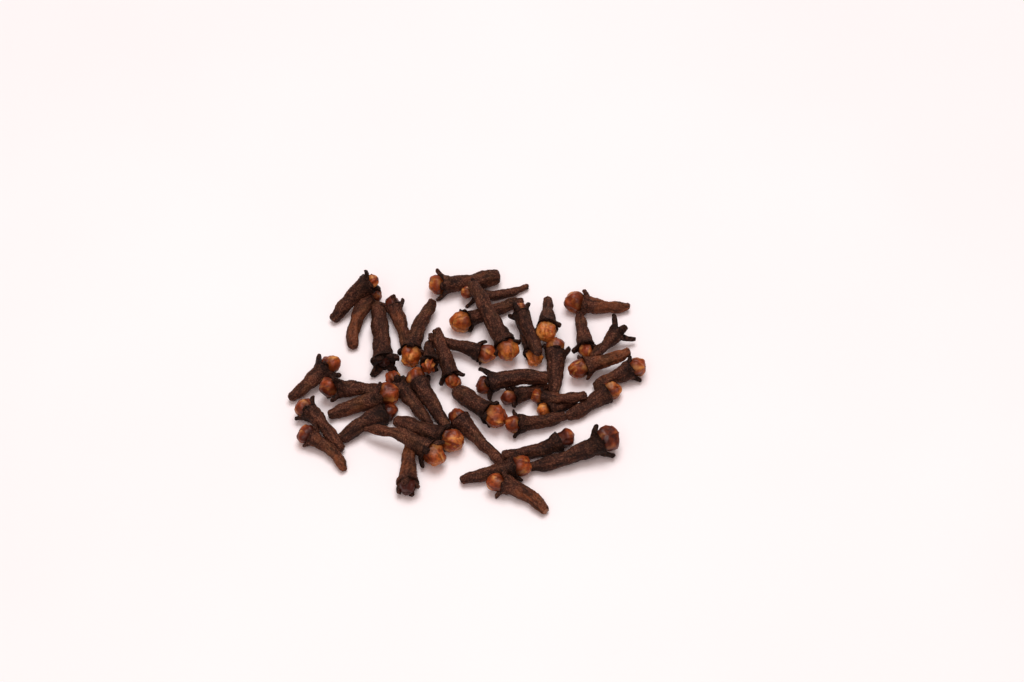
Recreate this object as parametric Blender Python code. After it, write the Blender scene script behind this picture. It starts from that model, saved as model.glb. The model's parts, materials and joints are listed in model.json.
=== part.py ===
"""A loose heap of whole cloves, one or two deep, as it lies on a flat surface.

The cloves are placed where the photograph shows them, settled onto the surface and onto
each other from the bottom one up, and joined into one solid.
"""

import math
from collections import namedtuple

import bmesh
import bpy
import numpy as np
from mathutils import Vector

MM = 0.001

# The photograph's view: the heap is seen from the front and above
IMAGE_WIDTH = 1024
IMAGE_HEIGHT = 682
VIEW_ELEVATION = math.radians(52)
VIEW_DISTANCE = 500 * MM
PIXEL = 0.21 * MM
AIM = Vector((9.27 * MM, 13.48 * MM, 0))

# Form of a clove, in shares of its own radii or in millimetres
SIDES = 8
STEM_RINGS = 6
STEM_WAIST = 0.1
STEM_END_LENGTH = 0.95
STEM_END_RING = 0.6
STEM_END_WIDTH = 0.75
CALYX_HEIGHT = 1.4 * MM
CALYX_FLARE = 1.12
CUP_DEPTH = 0.4 * MM
CUP_WIDTH = 0.7
DOME_SEAT = 0.45
BALL_SEAT = 0.8
BALL_FOOT = 0.15
BALL_WIDEST = 0.2
BALL_SHOULDER = 0.7

# How the cloves settle
SAMPLES = 14
BITE = 0.5 * MM
BALANCE = 0.62
PLACING_ROUNDS = 16
EASING = 0.4
DRAWING_ROUNDS = 120
TOUCH = 0.42 * MM
PRESS = 0.55 * MM
TIP_RADIUS = 0.1 * MM
FACET_REACH = 1 / math.cos(math.pi / SIDES)

COLOUR = (0.10, 0.042, 0.027, 1)
ROUGHNESS = 0.7

# One clove: where the photograph shows its bud and the end of its stem (pixels), then in
# millimetres the radius of the bud, of the stem under the calyx and of the stem's end,
# how far the stem bows to the left (seen from its end) and arches up, how much higher
# than the stem's end the bud stands, and the sepals' length; then the sepals' turn about
# the stem and their spread from it in degrees. A ball is a closed bud, a dome one that
# has sunk into its calyx, and a cup an empty calyx.
Clove = namedtuple("Clove", "bud tail ball top end bow arch rise sepal turn spread form",
                   defaults=(0, 0, None, 1.8, 0, 45, "ball"))

# From the bottom of the heap to its top
CLOVES = [
    Clove((383, 362), (377, 309), 0, 2.0, 1.75, sepal=2.6, turn=35, spread=50, form="cup"),
    Clove((371, 294), (351, 343), 1.95, 1.6, 1.35, bow=1.2, sepal=1.6),
    Clove((370, 281), (334, 316), 1.7, 1.75, 1.35, bow=0.6, turn=20, form="dome"),
    Clove((392, 303), (406, 350), 1.85, 1.45, 1.2, bow=-0.4, sepal=2.1, turn=25, spread=35, form="dome"),
    Clove((393, 378), (429, 421), 1.9, 1.6, 1.2, sepal=1.2, turn=30),
    Clove((416, 376), (447, 424), 2.1, 1.7, 1.35, sepal=1.4, turn=20),
    Clove((389, 412), (345, 436), 1.9, 1.75, 1.55, arch=0.6, bow=0.3, sepal=1.0),
    Clove((328, 386), (378, 389), 2.15, 1.65, 1.5, sepal=2.7, turn=40, spread=50),
    Clove((388, 393), (333, 413), 2.45, 1.75, 1.35, sepal=2.0, turn=10, spread=40),
    Clove((328, 361), (291, 393), 2.15, 1.8, 1.35, sepal=2.6, turn=-25),
    Clove((431, 364), (432, 341), 1.7, 1.5, 1.1, rise=3.5, sepal=1.4, turn=45),
    Clove((410, 355), (430, 304), 2.3, 1.7, 1.45, bow=-0.7, rise=1, sepal=1.8, turn=10),
    Clove((488, 352), (434, 336), 2.1, 1.45, 1.2, sepal=1.8),
    Clove((455, 379), (439, 331), 1.8, 1.55, 1.35, sepal=2.0, turn=10),
    Clove((464, 323), (522, 303), 2.35, 1.45, 1.25, sepal=1.8, turn=10),
    Clove((471, 294), (529, 289), 1.6, 1.3, 0.85, bow=1.4, sepal=2.4, turn=-7, spread=60),
    Clove((511, 351), (477, 287), 2.3, 1.85, 1.5, sepal=2.2),
    Clove((436, 283), (492, 276), 2.1, 1.6, 2.05, bow=0.5, sepal=2.8, turn=-10),
    Clove((535, 360), (520, 322), 2.0, 1.4, 1.1, sepal=1.2, turn=45),
    Clove((521, 315), (539, 355), 1.85, 1.5, 1.35, sepal=2.2, turn=-10, spread=35, form="dome"),
    Clove((560, 350), (559, 394), 2.1, 1.75, 1.55, sepal=2.2, turn=5, spread=35),
    Clove((551, 335), (552, 305), 2.2, 1.7, 1.2, rise=3, sepal=1.6, turn=20, spread=60),
    Clove((577, 303), (627, 308), 2.45, 1.6, 1.3, bow=0.5, sepal=1.9, turn=-10, spread=55),
    Clove((589, 354), (582, 317), 1.6, 1.55, 1.15, rise=1, sepal=1.8, spread=55),
    Clove((621, 335), (598, 358), 0, 1.55, 1.2, sepal=3.2, turn=5, form="cup"),
    Clove((640, 371), (601, 389), 2.1, 1.6, 1.3, sepal=2.2),
    Clove((582, 372), (628, 357), 2.25, 1.55, 1.4, sepal=1.9, turn=10),
    Clove((616, 395), (576, 420), 2.1, 1.55, 1.5, sepal=1.0, turn=15),
    Clove((511, 401), (546, 391), 1.75, 1.5, 1.4, sepal=1.6, turn=20),
    Clove((487, 388), (545, 381), 2.0, 1.8, 1.7, bow=-0.3, arch=0.8, sepal=2.6, turn=5),
    Clove((547, 414), (577, 407), 1.5, 1.2, 1.0, sepal=0.8, turn=45),
    Clove((499, 421), (464, 398), 2.5, 1.7, 1.95, sepal=2.2, turn=30),
    Clove((540, 400), (585, 400), 1.6, 1.3, 1.2, bow=0.5, sepal=1.2, turn=20),
    Clove((572, 434), (514, 450), 2.1, 1.55, 1.35, bow=-0.8, sepal=0.9, turn=20),
    Clove((517, 429), (565, 422), 1.9, 1.5, 1.35, bow=0.4, sepal=2.2, turn=5),
    Clove((607, 443), (534, 470), 2.7, 1.75, 1.4, bow=-0.8, sepal=3.0),
    Clove((459, 418), (508, 468), 1.85, 1.7, 1.0, sepal=0.8, turn=20, form="dome"),
    Clove((521, 469), (464, 483), 2.15, 1.45, 1.25, sepal=2.4, spread=50),
    Clove((497, 489), (543, 515), 2.1, 1.6, 1.35, bow=-1.0, sepal=2.3, turn=-7, spread=50),
    Clove((453, 441), (400, 422), 2.45, 1.75, 1.5, sepal=1.8, turn=20),
    Clove((403, 489), (410, 441), 1.9, 1.7, 1.4, bow=-0.7, sepal=2.2, turn=10, spread=15, form="dome"),
    Clove((434, 455), (367, 429), 2.5, 1.6, 1.05, bow=0.7, arch=1.4, sepal=3.0, turn=5),
    Clove((304, 436), (341, 468), 2.0, 1.35, 1.15, bow=-0.8, sepal=2.0),
    Clove((304, 407), (339, 447), 2.05, 1.6, 1.3, bow=-0.5, sepal=2.4),
]


def clear_scene():
    for old in list(bpy.data.objects):
        bpy.data.objects.remove(old)


def make_material():
    material = bpy.data.materials.new("clove brown")
    material.use_nodes = True
    shader = material.node_tree.nodes["Principled BSDF"]
    shader.inputs["Base Color"].default_value = COLOUR
    shader.inputs["Roughness"].default_value = ROUGHNESS
    shader.inputs["Metallic"].default_value = 0
    return material


def view_directions():
    """Return the unit vectors of the view: into the picture, to its right, and up it."""
    into = Vector((0, math.cos(VIEW_ELEVATION), -math.sin(VIEW_ELEVATION)))
    right = Vector((1, 0, 0))
    return into, right, right.cross(into)


def place_of_pixel(pixel, height):
    """Return the point at a height above the surface that a pixel shows."""
    into, right, up = view_directions()
    eye = AIM - into * VIEW_DISTANCE
    across = (pixel[0] - IMAGE_WIDTH / 2) * PIXEL
    above = (IMAGE_HEIGHT / 2 - pixel[1]) * PIXEL
    ray = into * VIEW_DISTANCE + right * across + up * above
    return eye + ray * ((height - eye.z) / ray.z)


class Axis:
    """The curved middle line of a clove, from its stem's end (0) to its bud (1)."""

    def __init__(self, clove, tail_height, bud_height):
        tail = place_of_pixel(clove.tail, tail_height)
        bud = place_of_pixel(clove.bud, bud_height)
        self.tail = tail
        self.bud = bud
        along = bud - tail
        left = Vector((-along.y, along.x, 0)).normalized()
        self.swell = (left * clove.bow + Vector((0, 0, clove.arch))) * MM
        self.length = along.length

    def point(self, share):
        return self.tail.lerp(self.bud, share) + self.swell * 4 * share * (1 - share)

    def direction(self, share):
        return ((self.bud - self.tail) + self.swell * 4 * (1 - 2 * share)).normalized()


def stem_radius(clove, share):
    """Return a stem's radius: from its round end it narrows a little, then widens to the calyx."""
    plain = clove.end + (clove.top - clove.end) * share
    waist = 1 - STEM_WAIST * math.sin(math.pi * share) ** 2
    return plain * waist * MM


def rim_setback(clove):
    """Return how far the calyx's rim lies below the middle of the bud."""
    if clove.form == "cup":
        return 0
    seat = DOME_SEAT if clove.form == "dome" else BALL_SEAT
    return seat * clove.ball * MM


def collar_share(clove, axis):
    """Return the place along the axis where the stem ends and the calyx opens."""
    return 1 - (rim_setback(clove) + CALYX_HEIGHT) / axis.length


def ball_samples(clove, axis):
    """Return the round samples of a clove as (share of its length, radius)."""
    collar = collar_share(clove, axis)
    samples = []
    for index in range(SAMPLES):
        share = index / (SAMPLES - 1)
        samples.append((share * collar, stem_radius(clove, share)))
    rim = 1 - rim_setback(clove) / axis.length
    samples.append((rim, clove.top * CALYX_FLARE * MM))
    if clove.form == "ball":
        samples.append((1, clove.ball * MM))
    return samples


def sepal_vectors(clove, axis):
    """Return the calyx's cross directions, two of them seen side-on in the photograph."""
    into, _, _ = view_directions()
    along = axis.direction(1)
    side = into.cross(along).normalized()
    front = along.cross(side)
    vectors = []
    for index in range(SIDES):
        angle = math.radians(clove.turn) + index * math.tau / SIDES
        vectors.append(side * math.cos(angle) + front * math.sin(angle))
    return vectors


def sepal_tips(clove, axis):
    """Return the four sepal tips, measured from the middle of the bud."""
    spread = math.radians(clove.spread)
    radial = (clove.top + clove.sepal * math.sin(spread)) * MM
    ahead = clove.sepal * math.cos(spread) * MM - rim_setback(clove)
    return [axis.direction(1) * ahead + vector * radial
            for vector in sepal_vectors(clove, axis)[::2]]


def round_samples(clove, axis):
    return [(axis.point(share), radius) for share, radius in ball_samples(clove, axis)]


def resting_heights(clove, axis, placed):
    """Return (share, lowest height) for every sample that the surface or a clove holds up."""
    held = []
    for share, radius in ball_samples(clove, axis):
        here = axis.point(share)
        lift = 4 * share * (1 - share) * clove.arch * MM
        held.append((share, radius - lift))
        for other, other_radius in placed:
            reach = radius + other_radius - BITE
            gap = reach ** 2 - (here.x - other.x) ** 2 - (here.y - other.y) ** 2
            if gap > 0:
                held.append((share, other.z + math.sqrt(gap) - lift))
    for offset in sepal_tips(clove, axis):
        held.append((1, -offset.z))
    return held


def settle(clove, held):
    """Return the heights of stem end and bud for the lowest rest that nothing cuts into."""
    if clove.rise is not None:
        rise = clove.rise * MM
        tail = max(height - share * rise for share, height in held)
        return tail, tail + rise
    best = None
    behind = [pair for pair in held if pair[0] <= BALANCE]
    ahead = [pair for pair in held if pair[0] > BALANCE]
    for near_share, near_height in behind:
        for far_share, far_height in ahead:
            slope = (far_height - near_height) / (far_share - near_share)
            middle = near_height + slope * (BALANCE - near_share)
            if best is None or middle > best[0]:
                best = (middle, near_height - slope * near_share, slope)
    return best[1], best[1] + best[2]


def settle_all():
    """Place every clove, from the lowest up, and return the axes in the same order."""
    placed = []
    axes = []
    for clove in CLOVES:
        tail_height = clove.end * MM
        bud_height = max(clove.ball, clove.top) * MM
        for _ in range(PLACING_ROUNDS):
            axis = Axis(clove, tail_height, bud_height)
            tail_rest, bud_rest = settle(clove, resting_heights(clove, axis, placed))
            tail_height += (tail_rest - tail_height) * EASING
            bud_height += (bud_rest - bud_height) * EASING
        axis = Axis(clove, tail_height, bud_height)
        axes.append(axis)
        placed += round_samples(clove, axis)
    return axes


def feelers(clove, axis):
    """Return the middles and the radii of the clove's round samples and sepal tips."""
    samples = round_samples(clove, axis)
    samples += [(axis.bud + tip, TIP_RADIUS) for tip in sepal_tips(clove, axis)]
    return np.array([middle for middle, _ in samples]), np.array([radius for _, radius in samples])


def nearest(first, second):
    """Return the least gap between two cloves, tip to tip left out, and the step across it."""
    steps = second[0][None, :, :] - first[0][:, None, :]
    reach = first[1][:, None] + second[1][None, :]
    gaps = np.where(reach > 2 * TIP_RADIUS, np.linalg.norm(steps, axis=2) - reach, np.inf)
    place = np.unravel_index(gaps.argmin(), gaps.shape)
    return gaps[place], steps[place]


def draw_together(axes):
    """Slide the groups of touching cloves level, the smaller to the larger, until all touch."""
    felt = [feelers(clove, axis) for clove, axis in zip(CLOVES, axes)]
    groups = [[index] for index in range(len(axes))]
    for _ in range(DRAWING_ROUNDS):
        if len(groups) == 1:
            break
        gap, step, mover, other = min(
            (nearest(felt[one], felt[two]) + (groups_at, groups_to)
             for groups_at, group in enumerate(groups) for groups_to, target in enumerate(groups)
             if groups_at != groups_to and len(group) <= len(target)
             for one in group for two in target),
            key=lambda found: found[0])
        if gap <= -TOUCH:
            groups[other] += groups[mover]
            del groups[mover]
            continue
        level = step * (1, 1, 0)
        slide = level / max(np.linalg.norm(level), TIP_RADIUS) * (gap + PRESS)
        for index in groups[mover]:
            axes[index].tail += Vector(slide)
            axes[index].bud += Vector(slide)
            felt[index] = feelers(CLOVES[index], axes[index])
    return axes


def lay_out():
    return draw_together(settle_all())


def add_ring(bm, centre, spokes, radius):
    return [bm.verts.new(centre + spoke * radius) for spoke in spokes]


def add_band(bm, lower, upper):
    count = len(lower)
    for index in range(count):
        following = (index + 1) % count
        bm.faces.new((lower[index], lower[following], upper[following], upper[index]))


def add_cap(bm, ring, tip, closes_end):
    pole = bm.verts.new(tip)
    count = len(ring)
    for index in range(count):
        first, second = ring[index], ring[(index + 1) % count]
        bm.faces.new((first, second, pole) if closes_end else (second, first, pole))


def clove_mesh(clove, axis, name):
    """Build one clove: stem, calyx with four sepals, and bud, as one closed skin."""
    bm = bmesh.new()
    collar = collar_share(clove, axis)
    vectors = sepal_vectors(clove, axis)

    def spokes_at(share):
        along = axis.direction(share)
        turned = axis.direction(1).rotation_difference(along)
        return [turned @ vector for vector in vectors]

    end_radius = stem_radius(clove, 0) * FACET_REACH
    start = axis.direction(0)
    end_ring = axis.point(0) - start * end_radius * STEM_END_RING
    ring = add_ring(bm, end_ring, spokes_at(0), end_radius * STEM_END_WIDTH)
    add_cap(bm, ring, axis.point(0) - start * end_radius * STEM_END_LENGTH, closes_end=False)
    for index in range(STEM_RINGS):
        share = index / (STEM_RINGS - 1)
        radius = stem_radius(clove, share) * FACET_REACH
        following = add_ring(bm, axis.point(share * collar), spokes_at(share * collar), radius)
        add_band(bm, ring, following)
        ring = following

    along = axis.direction(1)
    rim = axis.bud - along * rim_setback(clove)
    tips = add_ring(bm, rim, vectors, clove.top * CALYX_FLARE * MM)
    for corner, tip in zip(tips[::2], sepal_tips(clove, axis)):
        corner.co = axis.bud + tip
    add_band(bm, ring, tips)
    ring = tips

    if clove.form == "cup":
        floor_ring = add_ring(bm, rim - along * CUP_DEPTH, vectors, clove.top * CUP_WIDTH * MM)
        add_band(bm, ring, floor_ring)
        add_cap(bm, floor_ring, rim, closes_end=True)
    else:
        ball = clove.ball * MM
        seat = rim_setback(clove) / ball
        for height, reach in ((BALL_FOOT - seat, 1), (BALL_WIDEST, FACET_REACH), (BALL_SHOULDER, 1)):
            radius = ball * math.sqrt(1 - height ** 2) * reach
            following = add_ring(bm, axis.bud + along * ball * height, vectors, radius)
            add_band(bm, ring, following)
            ring = following
        add_cap(bm, ring, axis.bud + along * ball, closes_end=True)

    for vertex in bm.verts:
        vertex.co.z = max(vertex.co.z, 0)
    bmesh.ops.triangulate(bm, faces=bm.faces)
    mesh = bpy.data.meshes.new(name)
    bm.to_mesh(mesh)
    bm.free()
    return mesh


def make_heap():
    """Join all the cloves into one solid."""
    pieces = bpy.data.collections.new("cloves")
    bpy.context.scene.collection.children.link(pieces)
    heap = None
    for index, (clove, axis) in enumerate(zip(CLOVES, lay_out())):
        name = f"clove_{index + 1}"
        piece = bpy.data.objects.new(name, clove_mesh(clove, axis, name))
        if heap is None:
            heap = piece
            bpy.context.scene.collection.objects.link(heap)
        else:
            pieces.objects.link(piece)
    heap.name = "clove_heap"
    union = heap.modifiers.new("join", "BOOLEAN")
    union.operation = "UNION"
    union.operand_type = "COLLECTION"
    union.collection = pieces
    union.solver = "EXACT"
    bpy.context.view_layer.update()
    evaluated = heap.evaluated_get(bpy.context.evaluated_depsgraph_get())
    joined = bpy.data.meshes.new_from_object(evaluated)
    heap.modifiers.clear()
    heap.data = joined
    for piece in list(pieces.objects):
        bpy.data.objects.remove(piece)
    bpy.data.collections.remove(pieces)
    return heap


def main():
    clear_scene()
    heap = make_heap()
    heap.data.materials.clear()
    heap.data.materials.append(make_material())
    heap.data.shade_smooth()
    heap.data.set_sharp_from_angle(angle=math.radians(40))


main()
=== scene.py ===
import json
import math
from collections import namedtuple

import bmesh
import bpy
import numpy as np
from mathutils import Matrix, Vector

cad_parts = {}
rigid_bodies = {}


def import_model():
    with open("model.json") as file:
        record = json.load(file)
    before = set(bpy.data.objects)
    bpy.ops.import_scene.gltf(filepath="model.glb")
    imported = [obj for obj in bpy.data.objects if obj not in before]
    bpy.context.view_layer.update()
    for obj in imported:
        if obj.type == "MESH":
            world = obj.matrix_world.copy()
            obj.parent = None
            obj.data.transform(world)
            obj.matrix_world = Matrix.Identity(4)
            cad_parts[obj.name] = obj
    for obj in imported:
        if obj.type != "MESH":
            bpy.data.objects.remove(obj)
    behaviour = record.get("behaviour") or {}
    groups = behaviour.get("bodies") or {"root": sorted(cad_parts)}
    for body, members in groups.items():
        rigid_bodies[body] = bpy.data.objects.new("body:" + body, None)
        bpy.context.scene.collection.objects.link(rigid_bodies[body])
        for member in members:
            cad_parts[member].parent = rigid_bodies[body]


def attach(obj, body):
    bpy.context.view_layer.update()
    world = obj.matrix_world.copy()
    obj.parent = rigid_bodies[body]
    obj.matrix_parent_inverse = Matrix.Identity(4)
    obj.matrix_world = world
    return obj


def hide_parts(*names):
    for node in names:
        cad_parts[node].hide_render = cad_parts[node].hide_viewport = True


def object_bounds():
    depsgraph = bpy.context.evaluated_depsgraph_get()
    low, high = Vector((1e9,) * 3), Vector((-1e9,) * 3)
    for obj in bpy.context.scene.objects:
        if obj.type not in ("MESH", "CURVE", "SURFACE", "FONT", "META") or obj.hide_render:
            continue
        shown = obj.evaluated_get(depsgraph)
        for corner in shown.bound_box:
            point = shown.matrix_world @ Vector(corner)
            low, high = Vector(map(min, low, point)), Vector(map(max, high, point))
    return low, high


# A loose heap of dried whole cloves on a bare white surface, seen from the front and above.
# Each clove is a thin wrinkled stem that opens into a calyx with four sepals round a small
# ball of folded petals.

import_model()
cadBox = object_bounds()

mm = 0.001

view = {
    "imageWidth": 1024,
    "imageHeight": 682,
    "elevation": math.radians(52),
    "distance": 500 * mm,
    "pixel": 0.21 * mm,  # what one pixel of the photograph covers at the heap
    "aim": Vector((9.27 * mm, 13.48 * mm, 0)),  # the surface point at the picture's middle
    "sensor": 36,
}

# How the cloves lie, as in the part's source
layout = {
    "samples": 14,  # along each clove, where it can meet the surface or another
    "bite": 0.5 * mm,  # how deep a clove sinks into those under it
    "balance": 0.62,  # where its weight lies, as a share of its length
    "placingRounds": 16,
    "easing": 0.4,
    "drawingRounds": 120,
    "touch": 0.42 * mm,  # the least depth that counts as touching
    "press": 0.55 * mm,
    "tipRadius": 0.1 * mm,
    "stemWaist": 0.1,  # how much thinner the stem is at its middle
    "calyxHeight": 1.4 * mm,
    "calyxFlare": 1.12,
    "domeSeat": 0.45,  # how far the calyx's rim lies below the bud's middle, of its radius
    "ballSeat": 0.8,
}

# One clove: where the photograph shows its bud and the end of its stem (pixels), then in
# millimetres the radius of the bud, of the stem under the calyx and of the stem's end,
# how far the stem bows to the left (seen from its end) and arches up, how much higher
# than the stem's end the bud stands, and the sepals' length; then the sepals' turn about
# the stem and their spread from it in degrees, and the form of the bud. The last four are
# the looks: how pale and warm the stem and the bud are (about 0 to 1), the petals, and
# whether the stem's end is freshly broken.
Clove = namedtuple(
    "Clove", "bud tail ball top end bow arch rise sepal turn spread form stemTone budTone petals cutEnd",
    defaults=(0, 0, None, 1.8, 0, 45, "ball", 0.35, 0.5, "round", False))

# From the bottom of the heap to its top
cloves = [
    Clove((383, 362), (377, 309), 0, 2.0, 1.75, sepal=2.6, turn=35, spread=50, form="cup", stemTone=0.3),
    Clove((371, 294), (351, 343), 1.95, 1.6, 1.35, bow=1.2, sepal=1.6, stemTone=0.62, budTone=0.4),
    Clove((370, 281), (334, 316), 1.7, 1.75, 1.35, bow=0.6, turn=20, form="dome", stemTone=0.3, budTone=0.3,
          petals="torn"),
    Clove((392, 303), (406, 350), 1.85, 1.45, 1.2, bow=-0.4, sepal=2.1, turn=25, spread=35, form="dome",
          stemTone=0.55, budTone=0.2),
    Clove((393, 378), (429, 421), 1.9, 1.6, 1.2, sepal=1.2, turn=30, stemTone=0.25, budTone=0.4,
          petals="torn"),
    Clove((416, 376), (447, 424), 2.1, 1.7, 1.35, sepal=1.4, turn=20, stemTone=0.25, budTone=0.4,
          petals="cracked"),
    Clove((389, 412), (345, 436), 1.9, 1.75, 1.55, arch=0.6, bow=0.3, sepal=1.0, stemTone=0.15, budTone=0.1),
    Clove((328, 386), (378, 389), 2.15, 1.65, 1.5, sepal=2.7, turn=40, spread=50, stemTone=0.35, budTone=0.3),
    Clove((388, 393), (333, 413), 2.45, 1.75, 1.35, sepal=2.0, turn=10, spread=40, stemTone=0.45, budTone=0.4,
          petals="angular"),
    Clove((328, 361), (291, 393), 2.15, 1.8, 1.35, sepal=2.6, turn=-25, stemTone=0.35, budTone=0.5),
    Clove((431, 364), (432, 341), 1.7, 1.5, 1.1, rise=3.5, sepal=1.4, turn=45, stemTone=0.15, budTone=0.35,
          petals="torn"),
    Clove((410, 355), (430, 304), 2.3, 1.7, 1.45, bow=-0.7, rise=1, sepal=1.8, turn=10, stemTone=0.35,
          budTone=0.7),
    Clove((488, 352), (434, 336), 2.1, 1.45, 1.2, sepal=1.8, stemTone=0.3, budTone=0.45),
    Clove((455, 379), (439, 331), 1.8, 1.55, 1.35, sepal=2.0, turn=10, stemTone=0.3, budTone=0.4),
    Clove((464, 323), (522, 303), 2.35, 1.45, 1.25, sepal=1.8, turn=10, stemTone=0.3, budTone=0.65),
    Clove((471, 294), (529, 289), 1.6, 1.3, 0.85, bow=1.4, sepal=2.4, turn=-7, spread=60, stemTone=0.4,
          budTone=0.35, petals="cracked"),
    Clove((511, 351), (477, 287), 2.3, 1.85, 1.5, sepal=2.2, stemTone=0.3, budTone=0.6),
    Clove((436, 283), (492, 276), 2.1, 1.6, 2.05, bow=0.5, sepal=2.8, turn=-10, stemTone=0.4, budTone=0.55),
    Clove((535, 360), (520, 322), 2.0, 1.4, 1.1, sepal=1.2, turn=45, stemTone=0.25, budTone=0.95,
          petals="torn"),
    Clove((521, 315), (539, 355), 1.85, 1.5, 1.35, sepal=2.2, turn=-10, spread=35, form="dome",
          stemTone=0.2, budTone=0.25),
    Clove((560, 350), (559, 394), 2.1, 1.75, 1.55, sepal=2.2, turn=5, spread=35, stemTone=0.3, budTone=0.45),
    Clove((551, 335), (552, 305), 2.2, 1.7, 1.2, rise=3, sepal=1.6, turn=20, spread=60, stemTone=0.35,
          budTone=0.75, petals="cracked"),
    Clove((577, 303), (627, 308), 2.45, 1.6, 1.3, bow=0.5, sepal=1.9, turn=-10, spread=55, stemTone=0.72,
          budTone=0.4, petals="angular"),
    Clove((589, 354), (582, 317), 1.6, 1.55, 1.15, rise=1, sepal=1.8, spread=55, stemTone=0.35, budTone=0.3),
    Clove((621, 335), (598, 358), 0, 1.55, 1.2, sepal=3.2, turn=5, form="cup", stemTone=0.35),
    Clove((640, 371), (601, 389), 2.1, 1.6, 1.3, sepal=2.2, stemTone=0.35, budTone=0.45),
    Clove((582, 372), (628, 357), 2.25, 1.55, 1.4, sepal=1.9, turn=10, stemTone=0.78, budTone=0.5,
          petals="cracked"),
    Clove((616, 395), (576, 420), 2.1, 1.55, 1.5, sepal=1.0, turn=15, stemTone=0.3, budTone=0.6,
          petals="torn"),
    Clove((511, 401), (546, 391), 1.75, 1.5, 1.4, sepal=1.6, turn=20, stemTone=0.25, budTone=0.2),
    Clove((487, 388), (545, 381), 2.0, 1.8, 1.7, bow=-0.3, arch=0.8, sepal=2.6, turn=5, stemTone=0.2,
          budTone=0.3),
    Clove((547, 414), (577, 407), 1.5, 1.2, 1.0, sepal=0.8, turn=45, stemTone=0.2, budTone=0.6),
    Clove((499, 421), (464, 398), 2.5, 1.7, 1.95, sepal=2.2, turn=30, stemTone=0.25, budTone=0.55),
    Clove((540, 400), (585, 400), 1.6, 1.3, 1.2, bow=0.5, sepal=1.2, turn=20, stemTone=0.35, budTone=0.5,
          petals="cracked"),
    Clove((572, 434), (514, 450), 2.1, 1.55, 1.35, bow=-0.8, sepal=0.9, turn=20, stemTone=0.15,
          budTone=0.25),
    Clove((517, 429), (565, 422), 1.9, 1.5, 1.35, bow=0.4, sepal=2.2, turn=5, stemTone=0.35, budTone=0.4,
          cutEnd=True),
    Clove((607, 443), (534, 470), 2.7, 1.75, 1.4, bow=-0.8, sepal=3.0, stemTone=0.1, budTone=0.3),
    Clove((459, 418), (508, 468), 1.85, 1.7, 1.0, sepal=0.8, turn=20, form="dome", stemTone=0.4,
          budTone=0.3),
    Clove((521, 469), (464, 483), 2.15, 1.45, 1.25, sepal=2.4, spread=50, stemTone=0.25, budTone=0.45),
    Clove((497, 489), (543, 515), 2.1, 1.6, 1.35, bow=-1.0, sepal=2.3, turn=-7, spread=50, stemTone=0.62,
          budTone=0.45, cutEnd=True),
    Clove((453, 441), (400, 422), 2.45, 1.75, 1.5, sepal=1.8, turn=20, stemTone=0.25, budTone=0.6,
          petals="cracked"),
    Clove((403, 489), (410, 441), 1.9, 1.7, 1.4, bow=-0.7, sepal=2.2, turn=10, spread=15, form="dome",
          stemTone=0.62, budTone=-0.2),
    Clove((434, 455), (367, 429), 2.5, 1.6, 1.05, bow=0.7, arch=1.4, sepal=3.0, turn=5, stemTone=0.4,
          budTone=0.65, petals="angular"),
    Clove((304, 436), (341, 468), 2.0, 1.35, 1.15, bow=-0.8, sepal=2.0, stemTone=0.72, budTone=0.3),
    Clove((304, 407), (339, 447), 2.05, 1.6, 1.3, bow=-0.5, sepal=2.4, stemTone=0.35, budTone=0.35),
]


def viewDirections():
    into = Vector((0, math.cos(view["elevation"]), -math.sin(view["elevation"])))
    right = Vector((1, 0, 0))
    return into, right, right.cross(into)


def placeOfPixel(pixel, height):
    # The point at a height above the surface that a pixel shows
    into, right, up = viewDirections()
    eye = view["aim"] - into * view["distance"]
    across = (pixel[0] - view["imageWidth"] / 2) * view["pixel"]
    above = (view["imageHeight"] / 2 - pixel[1]) * view["pixel"]
    ray = into * view["distance"] + right * across + up * above
    return eye + ray * ((height - eye.z) / ray.z)


class CloveAxis:
    # The curved middle line of a clove, from its stem's end (0) to its bud (1)
    def __init__(self, clove, tailHeight, budHeight):
        self.tail = placeOfPixel(clove.tail, tailHeight)
        self.bud = placeOfPixel(clove.bud, budHeight)
        along = self.bud - self.tail
        left = Vector((-along.y, along.x, 0)).normalized()
        self.swell = (left * clove.bow + Vector((0, 0, clove.arch))) * mm
        self.length = along.length

    def point(self, share):
        return self.tail.lerp(self.bud, share) + self.swell * 4 * share * (1 - share)

    def direction(self, share):
        return ((self.bud - self.tail) + self.swell * 4 * (1 - 2 * share)).normalized()


def stemRadius(clove, share):
    plain = clove.end + (clove.top - clove.end) * share
    waist = 1 - layout["stemWaist"] * math.sin(math.pi * share) ** 2
    return plain * waist * mm


def rimSetback(clove):
    # How far the calyx's rim lies below the middle of the bud
    if clove.form == "cup":
        return 0
    seat = layout["domeSeat"] if clove.form == "dome" else layout["ballSeat"]
    return seat * clove.ball * mm


def collarShare(clove, axis):
    return 1 - (rimSetback(clove) + layout["calyxHeight"]) / axis.length


def ballSamples(clove, axis):
    collar = collarShare(clove, axis)
    samples = []
    for index in range(layout["samples"]):
        share = index / (layout["samples"] - 1)
        samples.append((share * collar, stemRadius(clove, share)))
    rim = 1 - rimSetback(clove) / axis.length
    samples.append((rim, clove.top * layout["calyxFlare"] * mm))
    if clove.form == "ball":
        samples.append((1, clove.ball * mm))
    return samples


def sepalVectors(clove, axis):
    # The four directions in which the sepals stand out of the calyx
    into = viewDirections()[0]
    side = into.cross(axis.direction(1)).normalized()
    front = axis.direction(1).cross(side)
    vectors = []
    for index in range(4):
        angle = math.radians(clove.turn) + index * math.tau / 4
        vectors.append(side * math.cos(angle) + front * math.sin(angle))
    return vectors


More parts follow.
